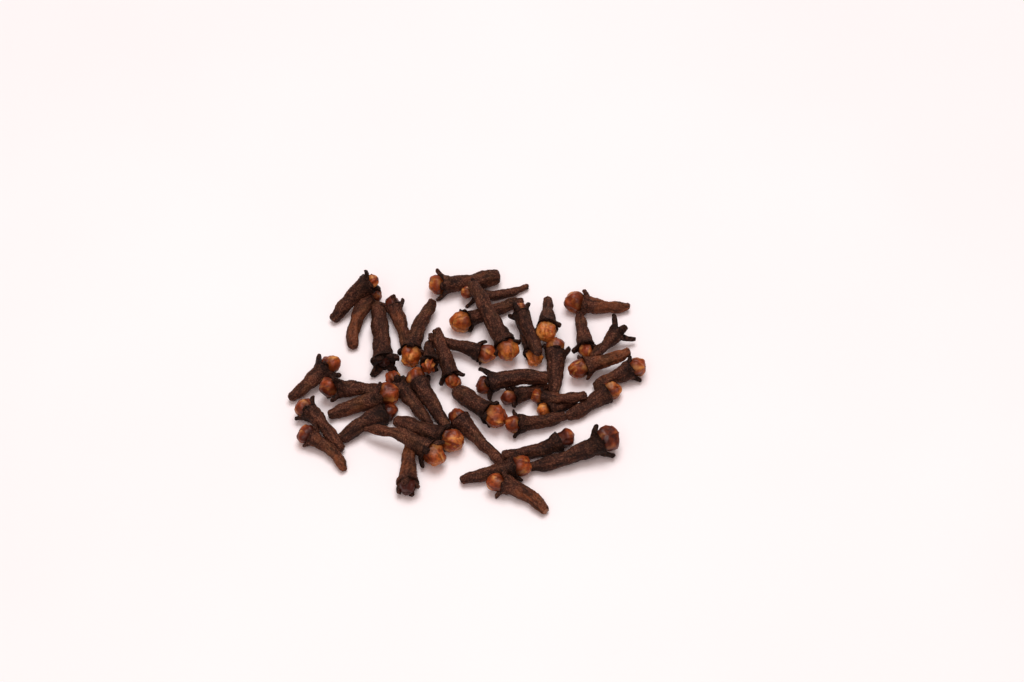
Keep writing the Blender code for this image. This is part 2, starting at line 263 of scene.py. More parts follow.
def sepalTips(clove, axis):
    spread = math.radians(clove.spread)
    radial = (clove.top + clove.sepal * math.sin(spread)) * mm
    ahead = clove.sepal * math.cos(spread) * mm - rimSetback(clove)
    return [axis.direction(1) * ahead + vector * radial for vector in sepalVectors(clove, axis)]


def roundSamples(clove, axis):
    return [(axis.point(share), radius) for share, radius in ballSamples(clove, axis)]


def restingHeights(clove, axis, placed):
    held = []
    for share, radius in ballSamples(clove, axis):
        here = axis.point(share)
        lift = 4 * share * (1 - share) * clove.arch * mm
        held.append((share, radius - lift))
        for other, otherRadius in placed:
            reach = radius + otherRadius - layout["bite"]
            gap = reach ** 2 - (here.x - other.x) ** 2 - (here.y - other.y) ** 2
            if gap > 0:
                held.append((share, other.z + math.sqrt(gap) - lift))
    for offset in sepalTips(clove, axis):
        held.append((1, -offset.z))
    return held


def settle(clove, held):
    # The heights of stem end and bud for the lowest rest that nothing cuts into
    if clove.rise is not None:
        rise = clove.rise * mm
        tail = max(height - share * rise for share, height in held)
        return tail, tail + rise
    best = None
    behind = [pair for pair in held if pair[0] <= layout["balance"]]
    ahead = [pair for pair in held if pair[0] > layout["balance"]]
    for nearShare, nearHeight in behind:
        for farShare, farHeight in ahead:
            slope = (farHeight - nearHeight) / (farShare - nearShare)
            middle = nearHeight + slope * (layout["balance"] - nearShare)
            if best is None or middle > best[0]:
                best = (middle, nearHeight - slope * nearShare, slope)
    return best[1], best[1] + best[2]


def settleAll():
    placed, axes = [], []
    for clove in cloves:
        tailHeight = clove.end * mm
        budHeight = max(clove.ball, clove.top) * mm
        for _ in range(layout["placingRounds"]):
            axis = CloveAxis(clove, tailHeight, budHeight)
            tailRest, budRest = settle(clove, restingHeights(clove, axis, placed))
            tailHeight += (tailRest - tailHeight) * layout["easing"]
            budHeight += (budRest - budHeight) * layout["easing"]
        axis = CloveAxis(clove, tailHeight, budHeight)
        axes.append(axis)
        placed += roundSamples(clove, axis)
    return axes


def feelers(clove, axis):
    samples = roundSamples(clove, axis)
    samples += [(axis.bud + tip, layout["tipRadius"]) for tip in sepalTips(clove, axis)]
    return np.array([middle for middle, _ in samples]), np.array([radius for _, radius in samples])


def nearest(first, second):
    # The least gap between two cloves, tip to tip left out, and the step across it
    steps = second[0][None, :, :] - first[0][:, None, :]
    reach = first[1][:, None] + second[1][None, :]
    gaps = np.where(reach > 2 * layout["tipRadius"], np.linalg.norm(steps, axis=2) - reach, np.inf)
    place = np.unravel_index(gaps.argmin(), gaps.shape)
    return gaps[place], steps[place]


def drawTogether(axes):
    # Slides the groups of touching cloves level, the smaller to the larger, until all touch
    felt = [feelers(clove, axis) for clove, axis in zip(cloves, axes)]
    groups = [[index] for index in range(len(axes))]
    for _ in range(layout["drawingRounds"]):
        if len(groups) == 1:
            break
        gap, step, mover, other = min(
            (nearest(felt[one], felt[two]) + (groupsAt, groupsTo)
             for groupsAt, group in enumerate(groups) for groupsTo, target in enumerate(groups)
             if groupsAt != groupsTo and len(group) <= len(target)
             for one in group for two in target),
            key=lambda found: found[0])
        if gap <= -layout["touch"]:
            groups[other] += groups[mover]
            del groups[mover]
            continue
        level = step * (1, 1, 0)
        slide = level / max(np.linalg.norm(level), layout["tipRadius"]) * (gap + layout["press"])
        for index in groups[mover]:
            axes[index].tail += Vector(slide)
            axes[index].bud += Vector(slide)
            felt[index] = feelers(cloves[index], axes[index])
    return axes


axes = drawTogether(settleAll())
print("cloves laid out:", len(axes))


def toLinear(hexColour):
    channels = [int(hexColour[place:place + 2], 16) / 255 for place in (1, 3, 5)]
    return tuple(c / 12.92 if c <= 0.04045 else ((c + 0.055) / 1.055) ** 2.4 for c in channels) + (1,)


def addNode(tree, kind, inputs=None, out=0, stops=(), **settings):
    # Adds a node with its settings and links and returns one of its outputs; a colour
    # ramp's stops are (place, hex colour or grey)
    node = tree.nodes.new(kind)
    for name, value in settings.items():
        setattr(node, name, value)
    for key, value in (inputs or {}).items():
        if isinstance(value, bpy.types.NodeSocket):
            tree.links.new(value, node.inputs[key])
        else:
            node.inputs[key].default_value = value
    for index, (place, colour) in enumerate(stops):
        elements = node.color_ramp.elements
        element = elements[index] if index < 2 else elements.new(place)
        element.position = place
        element.color = toLinear(colour) if isinstance(colour, str) else (colour,) * 3 + (1,)
    return node.outputs[out]


def startMaterial(name):
    material = bpy.data.materials.new(name)
    material.use_nodes = True
    return material, material.node_tree, material.node_tree.nodes["Principled BSDF"]


def finishMaterial(tree, shader, finish, colour, layers, grain):
    # Lays named colours over the first, each by its share, and lets the grain stand out
    for share, name in layers:
        colour = addNode(tree, "ShaderNodeMix", {0: share, 6: colour, 7: toLinear(finish[name])},
                         out=2, data_type="RGBA")
    tree.links.new(colour, shader.inputs["Base Color"])
    shader.inputs["Roughness"].default_value = finish["roughness"]
    shader.inputs["IOR"].default_value = finish["ior"]
    shader.inputs["Specular IOR Level"].default_value = finish["gloss"]
    raised = addNode(tree, "ShaderNodeBump", {
        "Height": grain, "Strength": finish["bump"], "Distance": finish["bumpHeight"]})
    tree.links.new(raised, shader.inputs["Normal"])


barkFinish = {
    "shadow": "#100603",  # painted shade in the bottoms of the wrinkles and pits
    "soot": "#190b07",  # the calyx and the sepals
    "dark": "#2b1511",
    "middle": "#4c261b",
    "warm": "#874826",  # the redder and paler stems
    "moss": "#513c22",  # olive patches on the skin
    "speck": "#8f5f47",  # dry tan flecks on the wrinkles' ridges
    "cut": "#a5755c",  # the pale pith of a broken end
    "patchesPerMm": 0.45,
    "patchGain": 1.3,  # how far the patches change the stem's own tone
    "patchShift": -0.35,
    "mossPerMm": 0.3,
    "mossStops": [(0.52, 0.0), (0.7, 0.6)],  # its share, at two values of its noise
    "speckSize": 0.27,  # millimetres
    "speckStops": [(0.49, 0.0), (0.64, 0.95)],
    "speckByTone": [(0.05, 0.25), (0.5, 1.0)],  # fewer show on dark skin
    "shadowStops": [(0.2, 0.0), (0.85, 0.75)],
    "roughness": 0.62,
    "ior": 1.48,
    "gloss": 0.12,
    "bump": 0.9,
    "bumpHeight": 0.16 * mm,
}


def makeBark():
    # Dried clove stem: a hard matt skin, finely pitted and wrinkled lengthwise, with a trace
    # of oil that gives it a faint broken gloss, and painted shade in its wrinkles and pits
    material, tree, shader = startMaterial("driedCloveBark")
    place = addNode(tree, "ShaderNodeAttribute", out="Vector", attribute_name="grain")
    tone, hollow, broken = [addNode(tree, "ShaderNodeAttribute", out="Fac", attribute_name=name)
                            for name in ("tone", "hollow", "cut")]
    patches = addNode(tree, "ShaderNodeTexNoise", {
        "Vector": place, "Scale": barkFinish["patchesPerMm"], "Detail": 3})
    mossy = addNode(tree, "ShaderNodeTexNoise", {
        "Vector": place, "Scale": barkFinish["mossPerMm"], "Detail": 2})
    fine = addNode(tree, "ShaderNodeTexNoise", {
        "Vector": place, "Scale": 1 / barkFinish["speckSize"], "Detail": 4, "Roughness": 0.75})
    level = addNode(tree, "ShaderNodeMath", {
        0: patches, 1: barkFinish["patchGain"], 2: barkFinish["patchShift"]}, operation="MULTIPLY_ADD")
    level = addNode(tree, "ShaderNodeMath", {0: tone, 1: level}, operation="ADD")
    level = addNode(tree, "ShaderNodeMath", {0: level, 1: 1 / barkFinish["patchGain"]},
                    operation="MULTIPLY", use_clamp=True)
    base = addNode(tree, "ShaderNodeValToRGB", {"Fac": level}, stops=[
        (0.0, barkFinish["soot"]), (0.23, barkFinish["dark"]),
        (0.58, barkFinish["middle"]), (1.0, barkFinish["warm"])])
    moss = addNode(tree, "ShaderNodeValToRGB", {"Fac": mossy}, stops=barkFinish["mossStops"])
    moss = addNode(tree, "ShaderNodeMath", {0: moss, 1: level}, operation="MULTIPLY")
    specks = addNode(tree, "ShaderNodeValToRGB", {"Fac": fine}, stops=barkFinish["speckStops"])
    shown = addNode(tree, "ShaderNodeValToRGB", {"Fac": level}, stops=barkFinish["speckByTone"])
    specks = addNode(tree, "ShaderNodeMath", {0: specks, 1: shown}, operation="MULTIPLY")
    # painted shade in the bottoms of the wrinkles and pits
    pitShade = addNode(tree, "ShaderNodeValToRGB", {"Fac": hollow}, stops=barkFinish["shadowStops"])
    finishMaterial(tree, shader, barkFinish, base, [
        (moss, "moss"), (specks, "speck"), (pitShade, "shadow"), (broken, "cut")], fine)
    return material


petalFinish = {
    "deep": "#40140a",  # petals that dried dark red
    "red": "#a0441a",
    "orange": "#db7f31",  # the warmest balls
    "gold": "#d9974f",  # pale inside showing in cracks; on the petals' edges both pale skin and a painted highlight
    # dark seams between the petals; the same colour is also painted shade on the ball's foot and in its
    # creases
    "seamAndShade": "#2e0f07",
    "patchesPerMetre": 420,
    "patchGain": 1.5,
    "patchShift": -0.75,
    "finePerMetre": 2600,
    "mottleStops": [(0.35, 0.4), (0.6, 0.0)],  # its share, at two values of its noise
    "goldAndHighlightStops": [(0.42, 0.0), (0.62, 0.85)],
    "goldAndHighlightByTone": [(0.15, 0.0), (0.5, 1.0)],  # dark petals show no gold
    # how much painted shade the petals' creases get
    "sunkShadeStops": [(0.5, 0.0), (1.0, 0.45)],
    "roughness": 0.4,
    "ior": 1.47,
    "gloss": 0.3,
    "bump": 0.25,
    "bumpHeight": 0.08 * mm,
}


def makePetal():
    # Dried clove petals: thin, smooth and slightly oily, folded over each other, so they
    # show a soft gloss, dark seams, and pale gold where the skin is rubbed or split; the rubbed gold is
    # partly a painted highlight, and the foot and creases of the ball get painted shade
    material, tree, shader = startMaterial("driedClovePetal")
    place = addNode(tree, "ShaderNodeTexCoord", out="Object")
    tone, seamAndShade, crack, hollow, rim = [addNode(tree, "ShaderNodeAttribute", out="Fac", attribute_name=name)
                                      for name in ("tone", "seamAndShade", "crack", "hollow", "edge")]
    patches, fine = [addNode(tree, "ShaderNodeTexNoise", {"Vector": place, "Scale": scale, "Detail": 3})
                     for scale in (petalFinish["patchesPerMetre"], petalFinish["finePerMetre"])]
    level = addNode(tree, "ShaderNodeMath", {
        0: patches, 1: petalFinish["patchGain"], 2: petalFinish["patchShift"]}, operation="MULTIPLY_ADD")
    level = addNode(tree, "ShaderNodeMath", {0: tone, 1: level}, operation="ADD", use_clamp=True)
    base = addNode(tree, "ShaderNodeValToRGB", {"Fac": level}, stops=[
        (0.0, petalFinish["deep"]), (0.5, petalFinish["red"]), (1.0, petalFinish["orange"])])
    mottle = addNode(tree, "ShaderNodeValToRGB", {"Fac": fine}, stops=petalFinish["mottleStops"])
    # gold on the petals' edges: partly their pale skin, partly a painted highlight
    goldAndHighlight = addNode(tree, "ShaderNodeValToRGB", {"Fac": patches}, stops=petalFinish["goldAndHighlightStops"])
    pale = addNode(tree, "ShaderNodeValToRGB", {"Fac": level}, stops=petalFinish["goldAndHighlightByTone"])
    for share in (pale, rim):
        goldAndHighlight = addNode(tree, "ShaderNodeMath", {0: goldAndHighlight, 1: share}, operation="MULTIPLY")
    # painted shade in the creases of the petals
    sunk = addNode(tree, "ShaderNodeValToRGB", {"Fac": hollow}, stops=petalFinish["sunkShadeStops"])
    finishMaterial(tree, shader, petalFinish, base, [
        (mottle, "deep"), (goldAndHighlight, "gold"), (sunk, "seamAndShade"), (crack, "gold"), (seamAndShade, "seamAndShade")], fine)
    return material


bark = makeBark()
petal = makePetal()
print("materials made")


def startTree(name, inputs):
    # inputs: each kind of socket with its labels; growPiece gives them their values
    tree = bpy.data.node_groups.new(name, "GeometryNodeTree")
    for kind, labels in {"Geometry": ["Geometry"], **inputs}.items():
        for label in labels:
            tree.interface.new_socket(label, in_out="INPUT", socket_type="NodeSocket" + kind)
    tree.interface.new_socket("Geometry", in_out="OUTPUT", socket_type="NodeSocketGeometry")
    given = tree.nodes.new("NodeGroupInput").outputs
    result = tree.nodes.new("NodeGroupOutput").inputs["Geometry"]
    return tree, given, result


def growPiece(name, tree, mesh, values):
    # Runs a tree on a mesh and keeps the result as a plain mesh object
    seedObject = bpy.data.objects.new(name + "Seed", mesh)
    bpy.context.scene.collection.objects.link(seedObject)
    modifier = seedObject.modifiers.new("grow", "NODES")
    modifier.node_group = tree
    for item in tree.interface.items_tree:
        if item.in_out == "INPUT" and item.name in values:
            modifier[item.identifier] = values[item.name]
    bpy.context.view_layer.update()
    depsgraph = bpy.context.evaluated_depsgraph_get()
    grown = bpy.data.meshes.new_from_object(seedObject.evaluated_get(depsgraph),
                                            preserve_all_data_layers=True, depsgraph=depsgraph)
    bpy.data.objects.remove(seedObject)
    grown.name = name
    piece = bpy.data.objects.new(name, grown)
    bpy.context.scene.collection.objects.link(piece)
    print(name, "grown:", len(grown.polygons), "faces")
    return piece


def sinkSkin(tree, skin, reliefs):
    # Sinks a skin by noises: each relief has its place, width, depth, detail, roughness,
    # the noise at its ridges and at its bottoms, and how much painted shade its bottoms get
    sunk = hollow = 0.0
    for place, width, depth, detail, roughness, ridge, bottom, bottomShade in reliefs:
        scale = addNode(tree, "ShaderNodeMath", {0: 1.0, 1: width}, operation="DIVIDE")
        noise = addNode(tree, "ShaderNodeTexNoise", {
            "Vector": place, "Scale": scale, "Detail": detail, "Roughness": roughness})
        share = addNode(tree, "ShaderNodeMapRange", {0: noise, 1: ridge, 2: bottom, 3: 0.0, 4: 1.0})
        sunk = addNode(tree, "ShaderNodeMath", {0: share, 1: depth, 2: sunk}, operation="MULTIPLY_ADD")
        hollow = addNode(tree, "ShaderNodeMath", {0: share, 1: bottomShade, 2: hollow},
                         operation="MULTIPLY_ADD")
    # the painted shade of the bottoms, kept for the materials
    skin = addNode(tree, "GeometryNodeStoreNamedAttribute", {
        "Geometry": skin, "Name": "hollow", "Value": hollow}, data_type="FLOAT", domain="POINT")
    inward = addNode(tree, "ShaderNodeMath", {0: sunk, 1: -mm}, operation="MULTIPLY")
    normal = addNode(tree, "GeometryNodeInputNormal")
    offset = addNode(tree, "ShaderNodeVectorMath", {0: normal, "Scale": inward}, operation="SCALE")
    moved = addNode(tree, "GeometryNodeSetPosition", {"Geometry": skin, "Offset": offset})
    return addNode(tree, "GeometryNodeSetShadeSmooth", {"Geometry": moved})


def finishTree(tree, geometry, given, result):
    realized = addNode(tree, "GeometryNodeRealizeInstances", {"Geometry": geometry})
    painted = addNode(tree, "GeometryNodeSetMaterial", {
        "Geometry": realized, "Material": given["Material"]})
    tree.links.new(painted, result)
    return tree


stemForm = {
    "capRings": 8,
    "bodyRings": 34,
    "calyxRings": 7,
    "lipRings": 5,
    "swelling": 0.38,  # millimetres, so that the wrinkled skin is as thick as the plain one
    "mostSwelling": 0.2,  # of the radius
    "endLength": 1.0,  # of the end's radius
    "bluntness": 2.6,
    "endRoundness": 2.2,
    "endTaper": 0.22,  # how much a stem narrows towards its end
    "taperShare": 0.35,
    "darkFrom": 0.62,  # from here on the skin darkens towards the calyx's rim
    "darkening": 0.5,
    "cupTone": -1.0,  # inside an empty calyx
    "cutShare": 0.7,
    "flare": 0.2,  # how much the calyx widens to its rim
    "lipShare": 0.72,  # how far below the ball's middle the calyx ends, of the rim's distance
    "lipWidth": 0.97,  # of the ball's radius
    "relief": {  # widths from ridge to ridge, and depths, in millimetres
        "Sides": 36, "Wrinkle Width": 0.75, "Wrinkle Depth": 0.16,
        "Wrinkle Stretch": 0.2,  # its width against its length
        "Pit Width": 0.4, "Pit Depth": 0.1, "Dent Width": 3.0, "Dent Depth": 0.36,
        "Seed": 4.0, "Material": bark},
}


def buildStemTree():
    # A stem follows its path: a ring swept along it, then wrinkled lengthwise and pitted
    tree, given, result = startTree("cloveStemTree", {
        "Int": ["Sides"], "Material": ["Material"],
        "Float": ["Wrinkle Width", "Wrinkle Depth", "Wrinkle Stretch", "Pit Width", "Pit Depth",
                  "Dent Width", "Dent Depth", "Seed"]})
    girth, around, along, number = [
        addNode(tree, "GeometryNodeInputNamedAttribute", {"Name": name}, data_type="FLOAT")
        for name in ("girth", "around", "along", "number")]
    curve = addNode(tree, "GeometryNodeMeshToCurve", {"Mesh": given["Geometry"]})
    ring = addNode(tree, "GeometryNodeCurvePrimitiveCircle", {"Resolution": given["Sides"], "Radius": 1.0})
    turn = addNode(tree, "GeometryNodeSplineParameter", out="Factor")
    ring = addNode(tree, "GeometryNodeStoreNamedAttribute", {
        "Geometry": ring, "Name": "around", "Value": turn}, data_type="FLOAT", domain="POINT")
    tube = addNode(tree, "GeometryNodeCurveToMesh", {
        "Curve": curve, "Profile Curve": ring, "Scale": girth, "Fill Caps": True})
    # where a point lies on the straightened stem, in millimetres: the grain follows the bend,
    # and lies elsewhere in the noise for each clove
    angle = addNode(tree, "ShaderNodeMath", {0: around, 1: math.tau}, operation="MULTIPLY")
    reach = addNode(tree, "ShaderNodeMath", {0: girth, 1: 1 / mm}, operation="MULTIPLY")
    waves = [addNode(tree, "ShaderNodeMath", {0: angle}, operation=wave) for wave in ("COSINE", "SINE")]
    across, deep = [addNode(tree, "ShaderNodeMath", {0: wave, 1: reach}, operation="MULTIPLY")
                    for wave in waves]
    shift = addNode(tree, "ShaderNodeMath", {0: number, 1: 31.7, 2: given["Seed"]},
                    operation="MULTIPLY_ADD")
    across = addNode(tree, "ShaderNodeMath", {0: across, 1: shift}, operation="ADD")
    place = addNode(tree, "ShaderNodeCombineXYZ", {0: across, 1: deep, 2: along})
    tube = addNode(tree, "GeometryNodeStoreNamedAttribute", {
        "Geometry": tube, "Name": "grain", "Value": place}, data_type="FLOAT_VECTOR", domain="POINT")
    grain = addNode(tree, "GeometryNodeInputNamedAttribute", {"Name": "grain"}, data_type="FLOAT_VECTOR")
    squash = addNode(tree, "ShaderNodeCombineXYZ", {0: 1.0, 1: 1.0, 2: given["Wrinkle Stretch"]})
    stretched = addNode(tree, "ShaderNodeVectorMath", {0: grain, 1: squash}, operation="MULTIPLY")
    # the last number of each relief is how much painted shade its bottoms get
    skin = sinkSkin(tree, tube, [
        (stretched, given["Wrinkle Width"], given["Wrinkle Depth"], 2.0, 0.55, 0.62, 0.36, 0.6),
        (grain, given["Pit Width"], given["Pit Depth"], 1.0, 0.5, 0.6, 0.4, 0.4),
        (grain, given["Dent Width"], given["Dent Depth"], 0.0, 0.5, 0.62, 0.3, 0.0)])
    return finishTree(tree, skin, given, result)


def buildPlacedTree():
    # Sets one of a few forms on every point, turned and sized by the point's own values,
    # and dents them all a little differently
    tree, given, result = startTree("clovePlacedTree", {
        "Collection": ["Forms"], "Material": ["Material"],
        "Float": ["Dent Width", "Dent Depth", "Crease Width", "Crease Depth", "Seed"]})
    ahead, outward, size, variant = [
        addNode(tree, "GeometryNodeInputNamedAttribute", {"Name": name}, data_type=kind)
        for name, kind in (("ahead", "FLOAT_VECTOR"), ("outward", "FLOAT_VECTOR"),
                           ("size", "FLOAT_VECTOR"), ("variant", "INT"))]
    forms = addNode(tree, "GeometryNodeCollectionInfo", {
        "Collection": given["Forms"], "Separate Children": True, "Reset Children": True})
    rotation = addNode(tree, "FunctionNodeAxesToRotation", {
        "Primary Axis": ahead, "Secondary Axis": outward}, primary_axis="Z", secondary_axis="X")
    placed = addNode(tree, "GeometryNodeInstanceOnPoints", {
        "Points": given["Geometry"], "Instance": forms, "Pick Instance": True,
        "Instance Index": variant, "Rotation": rotation, "Scale": size})
    realized = addNode(tree, "GeometryNodeRealizeInstances", {"Geometry": placed})
    position = addNode(tree, "GeometryNodeInputPosition")
    place = addNode(tree, "ShaderNodeVectorMath", {0: position, "Scale": 1 / mm}, operation="SCALE")
    shift = addNode(tree, "ShaderNodeCombineXYZ", {0: given["Seed"], 1: 0.0, 2: 0.0})
    place = addNode(tree, "ShaderNodeVectorMath", {0: place, 1: shift}, operation="ADD")
    grained = addNode(tree, "GeometryNodeStoreNamedAttribute", {
        "Geometry": realized, "Name": "grain", "Value": place}, data_type="FLOAT_VECTOR", domain="POINT")
    # the creases' bottoms get painted shade, the dents none
    skin = sinkSkin(tree, grained, [
        (place, given["Dent Width"], given["Dent Depth"], 0.0, 0.5, 0.6, 0.3, 0.0),
        (place, given["Crease Width"], given["Crease Depth"], 2.0, 0.5, 0.58, 0.38, 1.0)])
    return finishTree(tree, skin, given, result)


def addAttribute(mesh, name, kind, values):
    attribute = mesh.attributes.new(name, kind, "POINT")
    flat = np.array(values, dtype=float).ravel()
    attribute.data.foreach_set("vector" if kind == "FLOAT_VECTOR" else "value",
                               flat.astype(int) if kind == "INT" else flat)


def pathMesh(name, paths):
    # Polylines, each a list of (point, radius, distance along it in mm, number, tone, cut)
    points, edges = [], []
    for path in paths:
        start = len(points)
        points += path
        edges += [(start + index, start + index + 1) for index in range(len(path) - 1)]
    mesh = bpy.data.meshes.new(name)
    mesh.from_pydata([row[0] for row in points], edges, [])
    for place, label in enumerate(("girth", "along", "number", "tone", "cut"), 1):
        addAttribute(mesh, label, "FLOAT", [row[place] for row in points])
    return mesh


def stemPath(clove, axis, number):
    # From the blunt end, which rounds off over its own length, up to the calyx's rim
    collar = collarShare(clove, axis)
    rim = 1 - rimSetback(clove) / axis.length
    endRadius = stemRadius(clove, 0)
    rows = []
    for index in range(stemForm["capRings"]):
        share = index / stemForm["capRings"]
        rounded = (1 - (1 - share) ** stemForm["bluntness"]) ** (1 / stemForm["endRoundness"])
        radius = endRadius * rounded * (1 - stemForm["endTaper"])
        behind = axis.direction(0) * endRadius * stemForm["endLength"] * (1 - share)
        rows.append((axis.point(0) - behind, max(radius, 0.04 * mm)))
    for index in range(stemForm["bodyRings"]):
        share = index / stemForm["bodyRings"]
        widened = math.sin(min(1.0, share / stemForm["taperShare"]) * math.pi / 2)
        taper = 1 - stemForm["endTaper"] * (1 - widened)
        rows.append((axis.point(share * collar), stemRadius(clove, share) * taper))
    flared = clove.top * (1 + stemForm["flare"]) * mm
    for index in range(stemForm["calyxRings"]):
        share = index / (stemForm["calyxRings"] - 1)
        radius = clove.top * mm + (flared - clove.top * mm) * math.sin(share * math.pi / 2)
        rows.append((axis.point(collar + (rim - collar) * share), radius))
    mouth = len(rows) - 3
    if clove.form != "cup":
        # the calyx goes on round the lower part of the ball
        lip = 1 - rimSetback(clove) * stemForm["lipShare"] / axis.length
        lipRadius = max(flared, clove.ball * stemForm["lipWidth"] * mm)
        for index in range(1, stemForm["lipRings"] + 1):
            share = index / stemForm["lipRings"]
            radius = flared + (lipRadius - flared) * math.sin(share * math.pi / 2)
            rows.append((axis.point(rim + (lip - rim) * share), radius))
        mouth = len(rows)
    path, length = [], 0
    for index, (point, radius) in enumerate(rows):
        if index:
            length += (point - rows[index - 1][0]).length / mm
        cut = stemForm["cutShare"] if clove.cutEnd and index < 2 else 0.0
        swelling = min(stemForm["swelling"] * mm, radius * stemForm["mostSwelling"])
        reached = max(0.0, (index / len(rows) - stemForm["darkFrom"]) / (1 - stemForm["darkFrom"]))
        tone = clove.stemTone - stemForm["darkening"] * reached if index < mouth else stemForm["cupTone"]
        path.append((point, radius + swelling, length, number, tone, cut))
    return path


stemPaths = [stemPath(clove, axis, number) for number, (clove, axis) in enumerate(zip(cloves, axes))]
stems = growPiece("cloveStems", buildStemTree(), pathMesh("stemPaths", stemPaths), stemForm["relief"])


def gridMesh(name, form, placeOf, values):
    # A closed skin of rings between two poles; values gives a point's named numbers
    rows, columns = form["rings"], form["sides"]
    shares = [(row / rows, column / columns) for row in range(1, rows) for column in range(columns)]
    shares = [(0, 0)] + shares + [(1, 0)]
    faces = []
    last = len(shares) - 1
    base = 1 + (rows - 2) * columns
    for column in range(columns):
        following = (column + 1) % columns
        faces.append((0, 1 + column, 1 + following))
        for row in range(rows - 2):
            low, high = 1 + row * columns, 1 + (row + 1) * columns
            faces.append((low + column, high + column, high + following, low + following))
        faces.append((base + column, last, base + following))
    mesh = bpy.data.meshes.new(name)
    mesh.from_pydata([placeOf(*share) for share in shares], [], faces)
    bm = bmesh.new()
    bm.from_mesh(mesh)
    bmesh.ops.recalc_face_normals(bm, faces=bm.faces)
    bm.to_mesh(mesh)
    bm.free()
    for label, valueOf in values.items():
        addAttribute(mesh, label, "FLOAT", [valueOf(*share) for share in shares])
    return mesh


petalForm = {
    "rings": 22,
    "sides": 52,
    "overlap": 0.09,  # the step from one petal down to the next, as a share of the radius
    "twist": 0.45,  # how far the seams swirl from the tip to the calyx, in radians
    "seamWidth": 0.05,  # as a share of a petal
    "seamStrength": 0.6,
    "edgePlace": 0.78,  # the middle of the gold edge, pale skin and painted highlight, as a share of a petal
    "edgeWidth": 0.2,
    "footShadeFrom": 0.36,  # painted shade from here down the ball towards the calyx
    "footShadeLength": 0.3,
    "footShadeDarkness": 0.7,
    "angular": 1.65,  # below 2 the ball turns into a blunt diamond
    "crackDepth": 0.07,
    "crackWidth": 0.22,
    "raggedness": 0.16,
    "tipDimple": 0.05,
    "squareness": 0.04,
    "discHeight": 0.3,  # of the low disc in an empty calyx
    "pinLength": 0.9,  # of the dried pin of the flower at its middle
    "discDarkness": 0.8,
}


def petalShare(height, around):
    # How far across its petal a point of the ball lies, from its free edge
    return (around * 4 + petalForm["twist"] * height / (math.pi / 2) * 2) % 1.0


def crackAmount(height, around):
    # Five nearly level splits across the front of the ball
    angle, fall = around * math.tau, height * math.pi
    across = math.sin(fall) * math.cos(angle + 0.5) + 0.12 * math.sin(3 * angle)
    wave = abs(math.sin(across * 6.5))
    return max(0.0, 1 - wave / petalForm["crackWidth"]) * math.sin(fall) ** 0.5


def budPoint(kind):
    def placeOf(height, around):
        fall, angle = height * math.pi, around * math.tau
        direction = Vector((
            math.sin(fall) * math.cos(angle), math.sin(fall) * math.sin(angle), math.cos(fall)))
        if kind == "stub":
            pin = petalForm["pinLength"] * math.exp(-(fall / 0.3) ** 2)
            direction.z = petalForm["discHeight"] * math.cos(fall) + pin
            return direction
        reach = 1 - petalForm["overlap"] * (1 - petalShare(height, around)) * math.sin(fall) ** 0.6
        if kind == "angular":
            power = petalForm["angular"]
            reach *= sum(abs(part) ** power for part in direction) ** (-1 / power) * 0.5 + 0.5
        if kind == "cracked":
            reach -= petalForm["crackDepth"] * crackAmount(height, around)
        if kind == "torn":
            rags = 0.5 + 0.5 * math.sin(7 * angle + 5 * height)
            reach *= 1 - petalForm["raggedness"] * rags * math.sin(fall)
        dimple = petalForm["tipDimple"] * math.exp(-(fall / 0.25) ** 2)
        corners = petalForm["squareness"] * math.cos(4 * angle) * math.sin(fall)
        return direction * (reach * (1 - dimple + corners))
    return placeOf


def budSeamAndShade(height, around):
    # Dark lines between the petals, and painted shade on the foot of the ball
    share = petalShare(height, around)
    line = petalForm["seamStrength"] * math.exp(-(min(share, 1 - share) / petalForm["seamWidth"]) ** 2)
    # painted shade darkens the ball towards the calyx
    foot = min(1.0, max(0.0, (height - petalForm["footShadeFrom"]) / petalForm["footShadeLength"]))
    return max(foot * petalForm["footShadeDarkness"], line * math.sin(height * math.pi) ** 0.3)


def budEdge(height, around):
    # A petal's free edge, where it lies over the next one
    past = (petalShare(height, around) - petalForm["edgePlace"]) / petalForm["edgeWidth"]
    return math.exp(-past ** 2) * math.sin(height * math.pi) ** 0.3


def noAmount(height, around):
    return 0.0


def stubSeam(height, around):
    # The disc of an empty calyx is almost black
    return petalForm["discDarkness"]


def makeForms(name, meshes):
    # The forms are picked by number, in the order of their names
    forms = bpy.data.collections.new(name)
    for index, mesh in enumerate(meshes):
        forms.objects.link(bpy.data.objects.new(f"{name}{index}", mesh))
    return forms


def pointMesh(name, rows):
    # Points with what the placing tree reads: where, ahead, outward, size, variant, tone
    mesh = bpy.data.meshes.new(name)
    mesh.from_pydata([row["where"] for row in rows], [], [])
    for label, kind in (("ahead", "FLOAT_VECTOR"), ("outward", "FLOAT_VECTOR"), ("size", "FLOAT_VECTOR"),
                        ("variant", "INT"), ("tone", "FLOAT")):
        addAttribute(mesh, label, kind, [row[label] for row in rows])
    return mesh


budKinds = ["round", "angular", "cracked", "torn", "stub"]
budForms = makeForms("budForm", [
    gridMesh(f"budForm{kind}", petalForm, budPoint(kind), {
        "seamAndShade": stubSeam if kind == "stub" else budSeamAndShade, "edge": noAmount if kind == "stub" else budEdge,
        "crack": crackAmount if kind == "cracked" else noAmount})
    for kind in budKinds])
placedTree = buildPlacedTree()
draw = np.random.default_rng(7)

